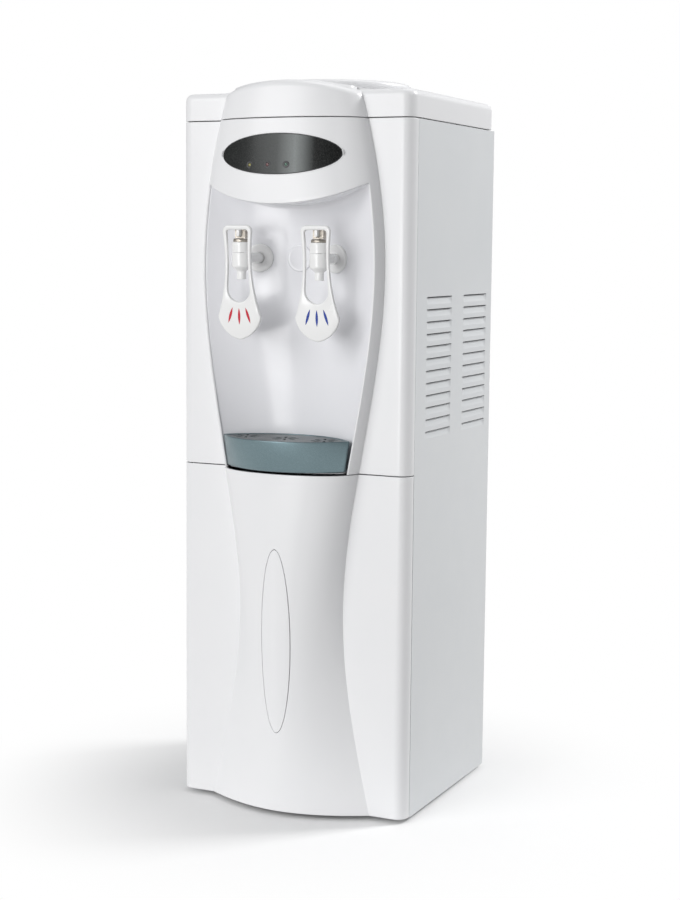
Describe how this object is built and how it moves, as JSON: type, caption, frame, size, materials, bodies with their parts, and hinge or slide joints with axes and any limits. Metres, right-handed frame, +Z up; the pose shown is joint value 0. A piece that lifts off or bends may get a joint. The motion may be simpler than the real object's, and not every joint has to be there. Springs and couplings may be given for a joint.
{
  "type": "floor-standing water dispenser",
  "caption": "Floor-standing hot and cold water dispenser: lever taps in a scooped niche, drip tray, cabinet door, bottle seat, bulged S-curved front.",
  "frame": {"origin": "on the floor, under the middle of the object's box", "axes": "+Z up, the taps and door face -Y, +X to the right of someone facing the taps"},
  "size_m": [0.34, 0.384, 0.99],
  "materials": {
    "white_plastic": "high gloss moulded",
    "white_steel": "semi gloss powder coat",
    "zinc_steel": "galvanised sheet",
    "tank_steel": "drawn stainless",
    "nickel": "satin nickel",
    "black_rubber": "matt",
    "silicone": "translucent silicone",
    "tap_plastic": "gloss moulded",
    "hot_red": "gloss",
    "cold_blue": "gloss",
    "tray_grey": "metallic slate lacquer",
    "window_black": "metallic graduated lacquer under clear",
    "lamp_yellow": "clear diffuser",
    "lamp_red": "clear diffuser",
    "lamp_green": "clear diffuser",
    "circuit_board": "solder mask",
    "liner_plastic": "fine grain",
    "foam": "expanded foam",
    "aluminium": "extruded",
    "ceramic": "ceramic plates",
    "black_plastic": "fine grain",
    "rocker_red": "gloss",
    "rocker_green": "gloss"
  },
  "bodies": {
    "cabinet": {"base_pan": "zinc_steel", "feet": "black_rubber", "left_side_panel": "white_steel", "right_side_panel": "white_steel", "back_panel": "white_steel", "panel_screws": "zinc_steel", "top_cover": "white_plastic", "bottle_seat": "white_plastic", "upper_front_panel": "white_plastic", "niche_wall": "white_plastic", "indicator_lens": "window_black", "yellow_lamp": "lamp_yellow", "red_lamp": "lamp_red", "green_lamp": "lamp_green", "indicator_board": "circuit_board", "tap_flanges": "tap_plastic", "tap_lock_nuts": "tap_plastic", "tap_bonnets": "tap_plastic", "bonnet_nuts": "nickel", "tap_blanking_plug": "tap_plastic", "door_hinges": "zinc_steel", "door_catch": "black_plastic", "storage_compartment": "liner_plastic", "tank_shelf": "zinc_steel", "tank_cradle": "zinc_steel", "cold_tank": "tank_steel", "cold_tank_jacket": "foam", "cooling_block": "aluminium", "thermoelectric_module": "ceramic", "heat_sink": "aluminium", "fan_frame": "black_plastic", "hot_tank": "tank_steel", "power_supply": "black_plastic", "silicone_hoses": "silicone", "drain_spout": "tap_plastic", "cord_gland": "black_rubber", "switch_housing": "black_plastic", "hot_tap_body": "tap_plastic", "hot_valve_spring": "tank_steel", "cold_tap_body": "tap_plastic", "cold_valve_spring": "tank_steel"},
    "door": {"door_panel": "white_plastic", "door_inlay": "white_plastic", "door_liner": "liner_plastic"},
    "tray": {"drip_tray": "tray_grey"},
    "grille": {"drip_grille": "tray_grey"},
    "hot_stem": {"hot_valve_stem": "nickel", "hot_pivot_pin": "nickel", "hot_valve_seal": "silicone"},
    "hot_lever": {"hot_lever": "tap_plastic", "hot_lever_marks": "hot_red"},
    "cold_stem": {"cold_valve_stem": "nickel", "cold_pivot_pin": "nickel", "cold_valve_seal": "silicone"},
    "cold_lever": {"cold_lever": "tap_plastic", "cold_lever_marks": "cold_blue"},
    "fan": {"fan_rotor": "black_plastic"},
    "hot_switch": {"hot_rocker": "rocker_red"},
    "cold_switch": {"cold_rocker": "rocker_green"},
    "drain_plug": {"drain_cap": "tap_plastic"}
  },
  "joints": [
    {"name": "door_swing", "type": "hinge", "parent": "cabinet", "child": "door", "pos_m": [-0.162, -0.111, 0.237], "axis": [0, 0, -1], "range_deg": [0, 95]},
    {"name": "tray_slide", "type": "slide", "parent": "cabinet", "child": "tray", "axis": [0, -1, 0], "range_m": [0, 0.09]},
    {"name": "grille_lift", "type": "slide", "parent": "tray", "child": "grille", "axis": [0, 0, 1], "range_m": [0, 0.03]},
    {"name": "hot_stem_lift", "type": "slide", "parent": "cabinet", "child": "hot_stem", "axis": [0, 0, 1], "range_m": [0, 0.0025], "deforming": ["hot_valve_spring"]},
    {"name": "hot_lever_tilt", "type": "hinge", "parent": "hot_stem", "child": "hot_lever", "pos_m": [-0.057, -0.16, 0.786], "axis": [1, 0, 0], "range_deg": [0, 12], "stiffness_Nm_per_rad": 1.5, "springref_deg": -3.44},
    {"name": "cold_stem_lift", "type": "slide", "parent": "cabinet", "child": "cold_stem", "axis": [0, 0, 1], "range_m": [0, 0.0025], "deforming": ["cold_valve_spring"]},
    {"name": "cold_lever_tilt", "type": "hinge", "parent": "cold_stem", "child": "cold_lever", "pos_m": [0.057, -0.16, 0.786], "axis": [1, 0, 0], "range_deg": [0, 12], "stiffness_Nm_per_rad": 1.5, "springref_deg": -3.44},
    {"name": "fan_spin", "type": "hinge", "parent": "cabinet", "child": "fan", "pos_m": [0, 0.153, 0.81], "axis": [0, 1, 0], "continuous": true},
    {"name": "hot_switch_rock", "type": "hinge", "parent": "cabinet", "child": "hot_switch", "pos_m": [0.0875, 0.1722, 0.645], "axis": [1, 0, 0], "range_deg": [0, 7.5]},
    {"name": "cold_switch_rock", "type": "hinge", "parent": "cabinet", "child": "cold_switch", "pos_m": [0.1125, 0.1722, 0.645], "axis": [1, 0, 0], "range_deg": [0, 7.5]},
    {"name": "drain_cap_pull", "type": "slide", "parent": "cabinet", "child": "drain_plug", "axis": [0, 1, 0], "range_m": [0, 0.02]}
  ],
  "couplings": [
    {"joint": "hot_stem_lift", "follows": "hot_lever_tilt", "m_per_rad": 0.0115},
    {"joint": "cold_stem_lift", "follows": "cold_lever_tilt", "m_per_rad": 0.0115}
  ]
}
